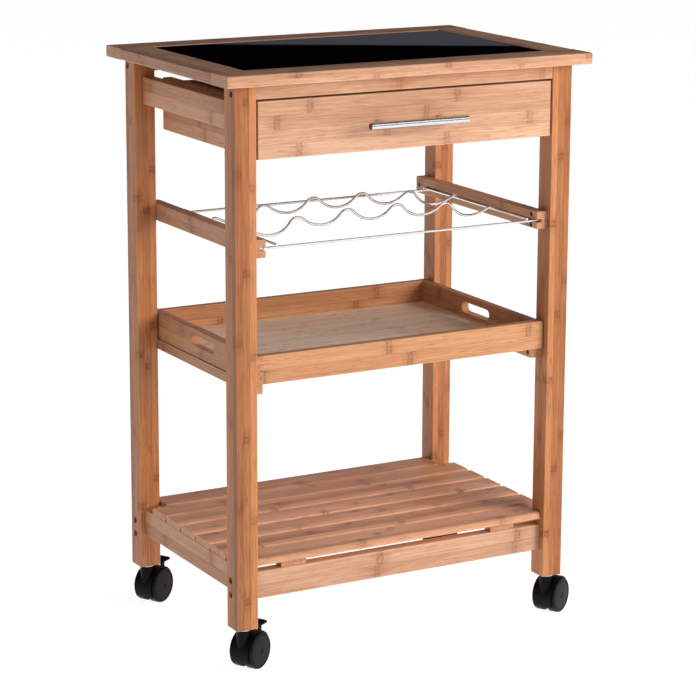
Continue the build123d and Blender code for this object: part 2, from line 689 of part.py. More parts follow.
def slat(centre, half_length):
    """Shelf slat with generously rounded upper edges."""
    solid = block(-half_length, half_length, centre - SLAT_WIDTH / 2, centre + SLAT_WIDTH / 2,
                  SLAT_Z, SLAT_Z + SLAT_THICKNESS)
    solid = fillet(solid.edges().filter_by(Axis.X).sort_by(Axis.Z)[-2:], SLAT_EDGE)
    return drill(solid, [s for s in slat_screws() if abs(s[0][1] - centre) < 1])


between_legs = LEG_INNER_X - EDGE
slats = [
    slat(centre, between_legs if index in (0, SLAT_COUNT - 1) else lower_outer_x)
    for index, centre in enumerate(SLAT_CENTRES)
]
save("shelf_slats", *slats)


# ---------------------------------------------------------------- fasteners
def frame_bolt(sign, y, z):
    """Socket-head bolt from a leg's outer face into a cross rail."""
    seat = (sign * BOLT_SEAT_X, y, z)
    top = (sign * (BOLT_SEAT_X + BOLT_HEAD_LENGTH), y, z)
    head = rod(seat, top, BOLT_HEAD_D / 2)
    socket = extrude(Plane(origin=top, z_dir=(-sign, 0, 0)) * RegularPolygon(HEX_KEY / 2, 6), 2.5)
    return head - socket + rod((sign * BOLT_TIP_X, y, z), seat, BOLT_D / 2)


bolts = []
nuts = []
for row in ("front", "back"):
    for index, (y, z) in enumerate(LINES[row]):
        for sign in SIDES.values():
            bolts.append(frame_bolt(sign, y, z))
            blank = barrel_nut_blank(sign, y, z, "z" if index == 0 else "y")
            nuts.append(blank - rod((sign * (NUT_X - NUT_D), y, z), (sign * (NUT_X + NUT_D), y, z),
                                    BOLT_D / 2))
save("frame_bolts", *bolts)
save("barrel_nuts", *nuts)

right_dowels = [rod(start, end, DOWEL_D / 2) for start, end in ALL_DOWELS]
save("frame_dowels", *right_dowels, *[flip(solid) for solid in right_dowels])

paired = rack_rail_screws() + tray_rail_screws() + runner_screws()
screw_solids = [wood_screw(*ends)[1] for ends in paired]
screw_solids += [flip(solid) for solid in screw_solids]
screw_solids += [wood_screw(*ends)[1] for ends in slat_screws() + top_screws()]
save("wood_screws", *screw_solids)


# ---------------------------------------------------------------- casters
def caster_place(row, side, shape):
    """Take a piece drawn about the swivel axis, trailing along +X, to one leg."""
    x = SIDES[side] * LEG_CENTRE_X
    return Pos(x, LEG_CENTRE_Y[row], 0) * Rot(0, 0, CASTER_ANGLE) * shape


def across(y0, y1, radius, x=CASTER_TRAIL, z=WHEEL_R):
    """Round bar along the axle direction."""
    return rod((x, y0, z), (x, y1, z), radius)


def caster_stem():
    """Steel stem: its shank in the leg, a flange under it and the swivel pin below."""
    shank = rod((0, 0, LEG_BOTTOM_Z), (0, 0, LEG_BOTTOM_Z + STEM_HEIGHT_IN_LEG), STEM_R)
    flange = rod((0, 0, LEG_BOTTOM_Z - STEM_FLANGE_T), (0, 0, LEG_BOTTOM_Z), STEM_FLANGE_R)
    pin = rod((0, 0, STEM_FOOT_Z), (0, 0, LEG_BOTTOM_Z - STEM_FLANGE_T), STEM_R)
    return shank + flange + pin


def brake_lugs():
    """Two ears on the hood that carry the brake lever."""
    ears = []
    for sign in (-1, 1):
        ear = block(BRAKE_X - 3.2, BRAKE_X + 3.2, sign * LUG_INNER_Y, sign * LUG_OUTER_Y,
                    WHEEL_R + HOOD_R - 9.0, BRAKE_Z + 2.8)
        ears.append(fillet(ear.edges().filter_by(Axis.Y).sort_by(Axis.Z)[-2:], 2.2))
    return ears


def caster_hood(braked):
    """Hood: an arched cover over both wheels, a middle web and the swivel socket."""
    cover = across(-HOOD_HALF_WIDTH, HOOD_HALF_WIDTH, HOOD_R)
    cover -= across(-HOOD_HALF_WIDTH, HOOD_HALF_WIDTH, HOOD_R - HOOD_WALL)
    low_cut = Pos(CASTER_TRAIL, 0, WHEEL_R - 4.5) * Rot(0, -22.0, 0) * Pos(0, 0, -50.0)
    cover -= low_cut * Box(160, 60, 100)
    web = across(-HOOD_WEB / 2, HOOD_WEB / 2, HOOD_R - 1.0)
    web -= Pos(CASTER_TRAIL, 0, WHEEL_R - 10.0 - 50.0) * Box(160, 60, 100)
    boss = rod((0, 0, WHEEL_R + 8.0), (0, 0, HOOD_TOP_Z), 9.0)
    boss = fillet(boss.edges().filter_by(GeomType.CIRCLE).sort_by(Axis.Z)[-1:], 1.2)
    wheel_room = across(HOOD_WEB / 2, HOOD_HALF_WIDTH, HOOD_R - HOOD_WALL)
    wheel_room += across(-HOOD_HALF_WIDTH, -HOOD_WEB / 2, HOOD_R - HOOD_WALL)
    hood = cover + web + (boss - wheel_room)
    if braked:
        for ear in brake_lugs():
            hood += ear - wheel_room
        hood -= rod((BRAKE_X, -LUG_OUTER_Y, BRAKE_Z), (BRAKE_X, LUG_OUTER_Y, BRAKE_Z),
                    BRAKE_PIN_R + AXLE_CLEARANCE)
    hood -= rod((0, 0, STEM_FOOT_Z - 0.5), (0, 0, HOOD_TOP_Z), STEM_R + AXLE_CLEARANCE)
    return hood - across(-HOOD_WEB, HOOD_WEB, AXLE_R)


def caster_wheel(sign):
    """Wheel with a crowned tread, a dished outer face and a closed hub."""
    bore = AXLE_R + AXLE_CLEARANCE
    bore_end = AXLE_HALF_LENGTH + 0.4
    inner = WHEEL_INNER_Y
    outer = WHEEL_OUTER_Y
    profile = [
        (0.0, bore_end), (bore, bore_end), (bore, inner),
        (9.0, inner), (10.0, inner + 3.3), (19.0, inner + 3.3), (20.0, inner),
        (WHEEL_R - 1.4, inner), (WHEEL_R, inner + 1.4), (WHEEL_R, outer - 3.0),
        (WHEEL_R - 0.5, outer - 1.2), (WHEEL_R - 1.4, outer - 0.4),
        (WHEEL_R - 2.8, outer - 0.2), (WHEEL_R - 3.4, outer - 1.0),
        (WHEEL_R - 4.2, outer - 1.0), (WHEEL_R - 4.8, outer - 0.4),
        (14.0, outer - 0.1), (4.6, outer), (3.8, outer - 0.6), (0.0, outer - 0.6),
    ]
    blank = revolve(make_face(Polyline(*profile, close=True)), axis=Axis.Y)
    wheel = Pos(CASTER_TRAIL, 0, WHEEL_R) * blank
    return wheel if sign > 0 else mirror(wheel, about=Plane.XZ)


def brake_lever():
    """Foot lever: a barrel on two stub pins and a ribbed plate that widens to its tip."""
    pins = rod((BRAKE_X, -LUG_OUTER_Y, BRAKE_Z), (BRAKE_X, LUG_OUTER_Y, BRAKE_Z), BRAKE_PIN_R)
    barrel = rod((BRAKE_X, -BRAKE_HALF_WIDTH, BRAKE_Z), (BRAKE_X, BRAKE_HALF_WIDTH, BRAKE_Z),
                 BRAKE_BARREL_R)
    outline = Polyline(
        (0.0, -BRAKE_HALF_WIDTH), (BRAKE_REACH * 0.3, -BRAKE_HALF_WIDTH),
        (BRAKE_REACH, -BRAKE_TIP_HALF_WIDTH), (BRAKE_REACH, BRAKE_TIP_HALF_WIDTH),
        (BRAKE_REACH * 0.3, BRAKE_HALF_WIDTH), (0.0, BRAKE_HALF_WIDTH), close=True)
    plate = extrude(make_face(outline), BRAKE_PLATE / 2, both=True)
    plate = fillet(plate.edges().filter_by(Axis.Z).sort_by(Axis.X)[-2:], 2.5)
    for distance in (10.0, 13.0, 16.0):
        half = BRAKE_HALF_WIDTH - 1.0
        plate += rod((distance, -half, BRAKE_PLATE / 2), (distance, half, BRAKE_PLATE / 2), 0.7)
    return pins + barrel + Pos(BRAKE_X, 0, BRAKE_Z) * Rot(0, -BRAKE_RISE_DEG, 0) * plate


stem = caster_stem()
plain_hood = caster_hood(False)
braked_hood = caster_hood(True)
wheels = [caster_wheel(1), caster_wheel(-1)]
axle = across(-AXLE_HALF_LENGTH, AXLE_HALF_LENGTH, AXLE_R)
lever = brake_lever()
save("caster_stems", *[
    caster_place(row, side, stem) for row in ("front", "back") for side in SIDES])
for row in ("front", "back"):
    for side in SIDES:
        hood = braked_hood if side == "left" else plain_hood
        save(f"caster_hood_{row}_{side}", caster_place(row, side, hood))
        save(f"caster_wheels_{row}_{side}", *[caster_place(row, side, w) for w in wheels])
        save(f"caster_axle_{row}_{side}", caster_place(row, side, axle))
    save(f"brake_lever_{row}_left", caster_place(row, "left", lever))
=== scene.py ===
"""Visual model of the kitchen island cart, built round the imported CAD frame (metres)."""
import math

import bmesh
import bpy
from mathutils import Matrix, Vector


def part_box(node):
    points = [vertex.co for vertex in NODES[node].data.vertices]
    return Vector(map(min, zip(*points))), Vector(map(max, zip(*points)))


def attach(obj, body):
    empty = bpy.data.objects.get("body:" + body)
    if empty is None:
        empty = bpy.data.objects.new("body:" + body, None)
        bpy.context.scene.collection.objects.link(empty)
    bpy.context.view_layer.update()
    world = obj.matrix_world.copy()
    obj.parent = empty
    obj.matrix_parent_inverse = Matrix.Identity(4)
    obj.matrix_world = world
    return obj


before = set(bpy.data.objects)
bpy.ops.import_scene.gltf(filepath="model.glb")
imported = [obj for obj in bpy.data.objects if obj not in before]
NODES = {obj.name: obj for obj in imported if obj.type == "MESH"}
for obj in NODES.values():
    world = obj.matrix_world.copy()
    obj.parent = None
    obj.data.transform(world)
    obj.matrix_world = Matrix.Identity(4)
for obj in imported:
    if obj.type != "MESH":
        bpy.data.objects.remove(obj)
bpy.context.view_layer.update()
SCENE = bpy.context.scene
SHIFT = Vector((-0.0065, 0.0055, 0.0))     # tabletop centre in the part's own frame
MM = 0.001

# ------------------------------------------------------------------ camera
CAM_PLACE = Vector((-1.763172, -3.193577, 1.277338)) + SHIFT
CAM_YAW = math.radians(-29.373)
CAM_PITCH = math.radians(12.641)
CAM_ROLL = math.radians(0.335)
CAM_FOCAL_PX = 2587.47
FRAME_PX = 696.0
CAM_SHIFT_X = -0.02743
CAM_SHIFT_Y = -0.06


def make_camera():
    """Camera at the photograph's viewing angle."""
    data = bpy.data.cameras.new("camera")
    data.sensor_width = 36.0
    data.lens = CAM_FOCAL_PX / FRAME_PX * data.sensor_width
    data.shift_x = CAM_SHIFT_X
    data.shift_y = CAM_SHIFT_Y
    data.clip_start = 0.05
    data.clip_end = 60.0
    ahead = Vector((-math.sin(CAM_YAW) * math.cos(CAM_PITCH),
                    math.cos(CAM_YAW) * math.cos(CAM_PITCH), -math.sin(CAM_PITCH)))
    right = ahead.cross(Vector((0, 0, 1))).normalized()
    up = right.cross(ahead)
    cos_r, sin_r = math.cos(CAM_ROLL), math.sin(CAM_ROLL)
    right, up = right * cos_r + up * sin_r, up * cos_r - right * sin_r
    turn = Matrix((right, up, -ahead)).transposed()
    camera = bpy.data.objects.new("camera", data)
    camera.matrix_world = Matrix.Translation(CAM_PLACE) @ turn.to_4x4()
    SCENE.collection.objects.link(camera)
    SCENE.camera = camera


make_camera()


# ------------------------------------------------------------------ shader graphs
GRAIN_DEPTH = 0.0006         # of the wood's grain
MARK_DEPTH = 0.0002          # of scratches in metal and of the grain of plastic


class Graph:
    """Short-hand for writing one material's node graph."""

    def __init__(self, name):
        self.mat = bpy.data.materials.new(name)
        self.mat.use_nodes = True
        self.tree = self.mat.node_tree
        self.tree.nodes.clear()
        self.out = self.tree.nodes.new("ShaderNodeOutputMaterial")
        self.bsdf = self.tree.nodes.new("ShaderNodeBsdfPrincipled")
        self.link(self.bsdf.outputs[0], self.out.inputs["Surface"])

    def link(self, source, target):
        self.tree.links.new(source, target)

    def put(self, target, value):
        if isinstance(value, bpy.types.NodeSocket):
            self.link(value, target)
        elif hasattr(value, "__len__") and len(value) == 3 and target.type == "RGBA":
            target.default_value = (*value, 1.0)
        else:
            target.default_value = value

    def node(self, kind, inputs=(), **settings):
        made = self.tree.nodes.new(kind)
        for key, value in settings.items():
            setattr(made, key, value)
        for key, value in dict(inputs).items():
            self.put(made.inputs[key], value)
        return made

    def math(self, operation, a, b=0.0, c=0.0, clamp=False):
        made = self.node("ShaderNodeMath", {0: a, 1: b, 2: c}, operation=operation)
        made.use_clamp = clamp
        return made.outputs[0]

    def step(self, value, low, high, to_low=0.0, to_high=1.0):
        """Smooth step from one range to another."""
        made = self.node("ShaderNodeMapRange", {
            "Value": value, "From Min": low, "From Max": high,
            "To Min": to_low, "To Max": to_high}, interpolation_type="SMOOTHSTEP")
        return made.outputs["Result"]

    def blend(self, factor, a, b, mode="MIX"):
        made = self.node("ShaderNodeMix", data_type="RGBA", blend_type=mode)
        self.put(made.inputs[0], factor)
        self.put(made.inputs[6], a)
        self.put(made.inputs[7], b)
        return made.outputs[2]

    def noise(self, vector, scale=1.0, detail=2.0, rough=0.5):
        made = self.node("ShaderNodeTexNoise", {
            "Vector": vector, "Scale": scale, "Detail": detail, "Roughness": rough})
        return made.outputs["Fac"]

    def place(self, origin=(0.0, 0.0, 0.0)):
        """Object coordinates counted from origin, whole and split into X, Y, Z."""
        coords = self.node("ShaderNodeTexCoord")
        moved = self.node("ShaderNodeVectorMath", {0: coords.outputs["Object"], 1: origin},
                          operation="SUBTRACT").outputs[0]
        split = self.node("ShaderNodeSeparateXYZ", {0: moved})
        return moved, split.outputs, coords.outputs["Normal"]

    def scaled(self, vector, scale):
        return self.node("ShaderNodeVectorMath", {0: vector, 1: scale},
                         operation="MULTIPLY").outputs[0]

    def set(self, **values):
        """Give shader inputs a value or a link."""
        for key, value in values.items():
            self.put(self.bsdf.inputs[key.replace("_", " ")], value)

    def fix(self, **values):
        """Set shader inputs to numbers that hold all over the surface."""
        for key, value in values.items():
            self.bsdf.inputs[key.replace("_", " ")].default_value = value

    def bump(self, height, strength, distance):
        made = self.node("ShaderNodeBump", {
            "Height": height, "Strength": strength, "Distance": distance})
        self.link(made.outputs[0], self.bsdf.inputs["Normal"])


def seed_of(text):
    """Small number that depends only on the text."""
    return sum((i + 3) * ord(c) for i, c in enumerate(text)) % 97


# ------------------------------------------------------------------ bamboo
TONES = {
    # name: (dark, light, node mark, variation between strips)
    "leg": ((0.26, 0.078, 0.022), (0.58, 0.238, 0.094), (0.17, 0.052, 0.018), 0.95),
    "rail": ((0.38, 0.155, 0.068), (0.68, 0.350, 0.190), (0.22, 0.078, 0.032), 0.60),
    "front": ((0.42, 0.195, 0.100), (0.74, 0.445, 0.285), (0.27, 0.105, 0.042), 0.50),
    "top": ((0.36, 0.155, 0.072), (0.74, 0.410, 0.250), (0.20, 0.074, 0.030), 0.70),
    "slat": ((0.40, 0.165, 0.082), (0.82, 0.430, 0.255), (0.24, 0.090, 0.040), 1.10),
    "tray": ((0.36, 0.145, 0.058), (0.66, 0.325, 0.155), (0.20, 0.072, 0.030), 0.60),
    "tray_floor": ((0.84, 0.615, 0.465), (0.98, 0.830, 0.690), (0.40, 0.240, 0.150), 0.80),
    "board": ((0.34, 0.220, 0.125), (0.52, 0.360, 0.220), (0.24, 0.140, 0.080), 0.40),
}
GRAIN = {
    # name: (marks per metre along, across and through the strip), detail, roughness
    "fine": ((34.0, 900.0, 900.0), 3.0, 0.6),
    "streak": ((7.0, 330.0, 330.0), 3.0, 0.6),
    "cloud": ((6.0, 22.0, 22.0), 2.0, 0.5),
    "specks": ((260.0, 760.0, 760.0), 2.0, 0.6),
    "dashes": ((42.0, 620.0, 620.0), 2.0, 0.55),
    "patches": ((9.0, 46.0, 46.0), 1.0, 0.5),
}
AXES = "XYZ"
BOARD_MARGIN = 0.0004        # strips are counted from just outside the board's faces
STRIP_SLIDE = 7.3            # furthest that one strip is slid along its neighbour
NODE_GAP = 0.23              # between the nodes of a cane
NODE_WAVE = 0.005            # how crooked a node mark is
NODE_HALF = 0.0034           # half of a node mark's length along the strip
NODE_FADE = 0.0074           # and where it has faded out
NODE_COLUMN = 0.0030         # the mark is densest this far from its middle
HALO_REACH = 0.0240          # wood is darker up to here beside a node
SEAM_HALF = 0.0008           # half of the glue line between two strips
EDGE_HIGHLIGHT_REACH = 0.0022          # how far the painted edge highlight reaches in from an edge
PORES_PER_METRE = 900.0      # on end grain


class Strips:
    """The strips of one laminated board, as shader values.  across and through are
    (axis, strip width) of the lamination; low and high are corners of the board's box."""

    def __init__(self, g, name, low, high, along, across, through):
        _, xyz, normal = g.place(tuple(c - BOARD_MARGIN for c in low))
        self.axes = [AXES.index(axis) for axis in (along, across[0], through[0])]
        run, self.across, self.through = [xyz[axis] for axis in self.axes]
        self.sizes = [high[axis] - low[axis] for axis in self.axes]
        self.width = across[1]
        self.across_count = g.math("DIVIDE", self.across, self.width)
        through_count = g.math("DIVIDE", self.through, through[1])
        cell = g.node("ShaderNodeCombineXYZ", {
            0: g.math("FLOOR", self.across_count), 1: g.math("FLOOR", through_count),
            2: float(seed_of(name))}).outputs[0]
        random = g.node("ShaderNodeTexWhiteNoise", {"Vector": cell}, noise_dimensions="3D")
        self.slide, self.shade, self.strength = g.node(
            "ShaderNodeSeparateColor", {0: random.outputs["Color"]}).outputs
        self.run = g.math("ADD", run, g.math("MULTIPLY", self.slide, STRIP_SLIDE))
        self.place = g.node("ShaderNodeCombineXYZ", {
            0: self.run, 1: self.across, 2: self.through}).outputs[0]
        self.facing = g.math("ABSOLUTE", g.node(
            "ShaderNodeSeparateXYZ", {0: normal}).outputs[self.axes[0]])


def node_marks(g, strips, specks):
    """Speckled marks where the cane had its nodes, and the darker wood round them."""
    wave = g.math("MULTIPLY", g.math("SUBTRACT", g.noise(strips.place, 190.0, 1.0), 0.5),
                  NODE_WAVE)
    turns = g.math("DIVIDE", g.math("ADD", strips.run, wave), NODE_GAP)
    from_node = g.math("MULTIPLY", g.math("ABSOLUTE", g.math(
        "SUBTRACT", g.math("FRACT", turns), 0.5)), NODE_GAP)
    halo = g.step(from_node, 0.0040, HALO_REACH, 1.0, 0.0)
    band = g.step(from_node, NODE_HALF, NODE_FADE, 1.0, 0.0)
    column = g.step(g.math("ABSOLUTE", g.math("SUBTRACT", from_node, NODE_COLUMN)),
                    0.0006, 0.0026, 1.0, 0.55)
    speckled = g.math("MULTIPLY", band, g.step(specks, 0.42, 0.60, 0.22, 1.0))
    strong = g.math("MULTIPLY_ADD", strips.strength, 0.40, 0.60)
    mark = g.math("MULTIPLY", speckled, g.math("MULTIPLY", column, strong), clamp=True)
    return mark, halo, strong


def fibre_dashes(g, grain, halo):
    """Short dark fibres, which gather in patches and near the nodes."""
    patches = g.math("MAXIMUM", g.step(grain["patches"], 0.36, 0.64, 0.32, 0.90),
                     g.math("MULTIPLY", halo, 0.85))
    return g.math("MULTIPLY", g.step(grain["dashes"], 0.53, 0.66), patches)


def seam_lines(g, strips):
    """Glue lines between strips."""
    part = g.math("FRACT", strips.across_count)
    to_seam = g.math("MULTIPLY", g.math("MINIMUM", part, g.math("SUBTRACT", 1.0, part)),
                     strips.width)
    return g.step(to_seam, 0.0001, SEAM_HALF, 1.0, 0.0)


def painted_edge_highlight(g, strips, streak):
    """Painted highlight: lighter wood along the board's long corners, where light catches the
    edges.
    """
    near = []
    for value, size in zip((strips.across, strips.through), strips.sizes[1:]):
        inner = g.math("SUBTRACT", value, BOARD_MARGIN)
        near.append(g.math("MINIMUM", inner, g.math("SUBTRACT", size, inner)))
    edge_highlight = g.step(g.math("MAXIMUM", *near), 0.0006, EDGE_HIGHLIGHT_REACH, 1.0, 0.0)
    return g.math("MULTIPLY", edge_highlight, g.math("MULTIPLY_ADD", streak, 0.7, 0.15))


def wood_level(g, strips, grain, halo, strong, variety):
    """How far the wood is from its dark to its light colour."""
    level = g.math("MULTIPLY_ADD", g.math("SUBTRACT", strips.shade, 0.5), variety, 0.60)
    level = g.math("MULTIPLY_ADD", g.math("SUBTRACT", grain["streak"], 0.5), 1.15, level)
    level = g.math("MULTIPLY_ADD", g.math("SUBTRACT", grain["cloud"], 0.5), 0.60, level)
    level = g.math("MULTIPLY_ADD", g.math("MULTIPLY", halo, strong), -0.20, level)
    return g.math("MULTIPLY_ADD", g.math("SUBTRACT", grain["fine"], 0.5), 0.80, level,
                  clamp=True)


def end_grain(g, strips, dark, light):
    """Colour of a cut end: the cane's pores."""
    pores = g.node("ShaderNodeTexVoronoi", {
        "Vector": strips.place, "Scale": PORES_PER_METRE}, feature="F1").outputs["Distance"]
    return g.blend(g.step(pores, 0.25, 0.6), tuple(c * 0.62 for c in dark),
                   tuple(c * 0.92 for c in light))


def bamboo(name, low, high, along, across, through, tone):
    """Laminated bamboo under a satin lacquer."""
    dark, light, mark_colour, variety = TONES[tone]
    fibre_colour = tuple(d * 0.6 + m * 0.4 for d, m in zip(dark, mark_colour))
    # lighter colour of the painted highlight on the board's long corners
    edge_highlight_colour = tuple(min(1.0, c * 1.18 + 0.05) for c in light)
    g = Graph(name)
    strips = Strips(g, name, low, high, along, across, through)
    grain = {key: g.noise(g.scaled(strips.place, scale), 1.0, detail, rough)
             for key, (scale, detail, rough) in GRAIN.items()}
    mark, halo, strong = node_marks(g, strips, grain["specks"])
    dashes = fibre_dashes(g, grain, halo)
    seam = seam_lines(g, strips)
    # painted highlight along the board's long corners
    edge_highlight = painted_edge_highlight(g, strips, grain["streak"])
    end = g.step(strips.facing, 0.6, 0.9)

    colour = g.blend(wood_level(g, strips, grain, halo, strong, variety), dark, light)
    colour = g.blend(g.math("MULTIPLY", dashes, 0.62), colour, fibre_colour)
    colour = g.blend(g.math("MULTIPLY", mark, 0.85), colour, mark_colour)
    colour = g.blend(g.math("MULTIPLY", seam, 0.22), colour, mark_colour)
    colour = g.blend(g.math("MULTIPLY", edge_highlight, 0.55), colour, edge_highlight_colour)
    colour = g.blend(g.math("MULTIPLY", end, 0.75), colour, end_grain(g, strips, dark, light))

    rough = g.math("MULTIPLY_ADD", grain["fine"], 0.22, 0.32)
    rough = g.math("MULTIPLY_ADD", end, 0.14, rough, clamp=True)
    g.set(Base_Color=colour, Roughness=rough)
    g.fix(IOR=1.48, Specular_IOR_Level=0.28, Coat_Weight=0.05, Coat_Roughness=0.30)
    height = g.math("MULTIPLY_ADD", grain["streak"], 0.35, g.math("MULTIPLY", grain["fine"], 0.45))
    height = g.math("SUBTRACT", height, g.math("MULTIPLY", seam, 0.55))
    height = g.math("MULTIPLY_ADD", mark, 0.35, height)
    g.bump(height, 0.28, GRAIN_DEPTH)
    return g.mat


# ------------------------------------------------------------------ metal, plastic, glass
def metal(name, colour, rough, streaks, scratch=0.06, spread=0.0):
    """Metal with fine marks.  streaks is how many marks per metre along X, Y and Z."""
    g = Graph(name)
    place, _, _ = g.place()
    marks = g.noise(g.scaled(place, streaks), 1.0, 3.0, 0.6)
    cloud = g.noise(place, 45.0, 3.0, 0.55)
    shade = g.math("MULTIPLY_ADD", marks, scratch * 2, g.math(
        "MULTIPLY_ADD", cloud, 0.10, 0.90 - scratch), clamp=True)
    rough_mix = g.math("MULTIPLY_ADD", marks, 0.16, rough)
    g.set(Base_Color=g.blend(shade, tuple(c * 0.55 for c in colour), colour))
    g.set(Roughness=g.math("MULTIPLY_ADD", cloud, 0.06 + spread, rough_mix, clamp=True))
    g.fix(Metallic=1.0)
    g.bump(marks, 0.10, MARK_DEPTH)
    return g.mat


def plastic(name, colour, rough, grain):
    """Moulded plastic with a fine spark-eroded grain and rubbed high spots.
    grain is how many pits there are per metre."""
    g = Graph(name)
    place, _, _ = g.place()
    fine = g.noise(place, grain, 2.0, 0.6)
    cloud = g.noise(place, 60.0, 4.0, 0.6)
    dust = g.step(cloud, 0.52, 0.80)
    dusty = tuple(c * 1.6 + 0.002 for c in colour)
    g.set(Base_Color=g.blend(g.math("MULTIPLY", dust, 0.35), colour, dusty))
    g.set(Roughness=g.math("MULTIPLY_ADD", cloud, 0.18, g.math(
        "MULTIPLY_ADD", fine, 0.10, rough - 0.12), clamp=True))
    g.fix(IOR=1.45, Specular_IOR_Level=0.15)
    g.bump(fine, 0.22, MARK_DEPTH)
    return g.mat


def black_glass(name):
    """Black back-painted glass: glossy, with a faint film of dust and wiping marks."""
    g = Graph(name)
    place, _, _ = g.place()
    wipe = g.noise(g.scaled(place, (7.0, 22.0, 22.0)), 1.0, 4.0, 0.6)
    dust = g.step(g.noise(place, 900.0, 2.0, 0.6), 0.66, 0.78)
    film = g.math("MULTIPLY_ADD", dust, 0.10, g.math("MULTIPLY", g.step(wipe, 0.45, 0.75), 0.05))
    g.set(Base_Color=g.blend(film, (0.0012, 0.0013, 0.0014), (0.016, 0.017, 0.019)))
    g.set(Roughness=g.math("MULTIPLY_ADD", wipe, 0.016, 0.004))
    g.fix(IOR=1.5)
    g.bump(wipe, 0.012, MARK_DEPTH)
    return g.mat


# ------------------------------------------------------------------ materials on CAD nodes
SLAT_PITCH = 0.0485
SLAT_START_Y = -0.16975 + SHIFT.y

WOODS = {
    # node prefix: (along, across, through, tone)
    "leg_": ("Z", ("X", 0.0107), ("Y", 0.0107), "leg"),
    "side_rail_": ("Y", ("Z", 0.0196), ("X", 0.0091), "rail"),
    "top_rail_": ("X", ("Z", 0.0201), ("Y", 0.0101), "front"),
    "shelf_rail_": ("X", ("Z", 0.0196), ("Y", 0.0091), "front"),
    "top_frame_front": ("X", ("Y", 0.0168), ("Z", 0.0083), "top"),
    "top_frame_back": ("X", ("Y", 0.0168), ("Z", 0.0083), "top"),
    "top_frame_left": ("Y", ("X", 0.0162), ("Z", 0.0083), "top"),
    "top_frame_right": ("Y", ("X", 0.0162), ("Z", 0.0083), "top"),
    "top_panel": ("X", ("Y", 0.090), ("Z", 0.0016), "board"),
    "drawer_front": ("X", ("Z", 0.0196), ("Y", 0.0081), "front"),
    "drawer_side": ("Y", ("Z", 0.0187), ("X", 0.0071), "rail"),
    "drawer_back": ("X", ("Z", 0.0195), ("Y", 0.0071), "rail"),
    "drawer_floor": ("X", ("Y", 0.080), ("Z", 0.0014), "board"),
    "drawer_runner": ("Y", ("Z", 0.0052), ("X", 0.0052), "rail"),
    "drawer_dowels": ("Y", ("Z", 0.0030), ("X", 0.0030), "board"),
    "frame_dowels": ("Y", ("Z", 0.0030), ("X", 0.0030), "board"),
    "rack_rail": ("Y", ("Z", 0.0126), ("X", 0.0086), "rail"),
    "tray_rails": ("Y", ("Z", 0.0149), ("X", 0.0086), "rail"),
    "tray_wall_front": ("X", ("Z", 0.0202), ("Y", 0.0061), "tray"),
    "tray_wall_back": ("X", ("Z", 0.0202), ("Y", 0.0061), "tray"),
    "tray_wall_left": ("Y", ("Z", 0.0202), ("X", 0.0061), "tray"),
    "tray_wall_right": ("Y", ("Z", 0.0202), ("X", 0.0061), "tray"),
    "tray_floor": ("X", ("Y", 0.0046), ("Z", 0.0030), "tray_floor"),
    "shelf_battens": ("Y", ("X", 0.0196), ("Z", 0.0051), "rail"),
    "shelf_slats": ("X", ("Y", SLAT_PITCH / 3), ("Z", 0.0110), "slat"),
}

CHROME = metal("chrome_wire", (0.90, 0.91, 0.92), 0.03, (60.0, 60.0, 60.0), 0.03)
STEEL = metal("handle_steel", (0.70, 0.70, 0.71), 0.12, (30.0, 3800.0, 3800.0), 0.08)
ZINC = metal("zinc_steel", (0.66, 0.66, 0.67), 0.26, (900.0, 900.0, 900.0), 0.10, 0.1)
DARK = metal("dark_steel", (0.075, 0.065, 0.06), 0.38, (1500.0, 1500.0, 1500.0), 0.10, 0.1)
HOOD_BLACK = plastic("black_plastic", (0.0016, 0.0016, 0.0020), 0.44, 2600.0)
WHEEL_BLACK = plastic("wheel_plastic", (0.0042, 0.0042, 0.0048), 0.38, 1900.0)
GLASS = black_glass("black_glass")
FINISHES = (
    # node prefix, material, for what is not wood
    ("glass_top", GLASS),
    ("drawer_handle", STEEL),
    ("rack_", CHROME),
    ("caster_hood", HOOD_BLACK),
    ("brake_lever", HOOD_BLACK),
    ("caster_wheels", WHEEL_BLACK),
    ("frame_bolts", DARK),
    ("wood_screws", DARK),
    ("", ZINC),
)


def wood_for(name, key):
    """A wooden node's own bamboo, laid along its board."""
    along, across, through, tone = WOODS[key]
    low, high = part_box(name)
    if name == "shelf_slats":
        low = Vector((low.x, SLAT_START_Y, low.z))
    return bamboo("wood_" + name, low, high, along, across, through, tone)


def dress():
    """Put a finished material on every CAD node."""
    for name, obj in NODES.items():
        keys = [key for key in WOODS if name.startswith(key)]
        if keys:
            material = wood_for(name, max(keys, key=len))
        else:
            material = next(m for prefix, m in FINISHES if name.startswith(prefix))
        obj.data.materials.clear()
        obj.data.materials.append(material)


dress()


# ------------------------------------------------------------------ small pieces
CAP_METAL = metal("cap_metal", (0.20, 0.135, 0.080), 0.26, (900.0, 900.0, 900.0), 0.12)
BAR_RADIUS = 5.25 * MM
CAP_SIDES = 40
CAP_PROFILE = [                 # mm outward from the bar's end, radius in mm
    (-0.2, 4.5), (0.15, 4.5), (0.38, 4.38), (0.50, 4.1), (0.56, 3.2), (0.44, 2.2), (0.36, 1.2),
    (0.34, 0.0)]


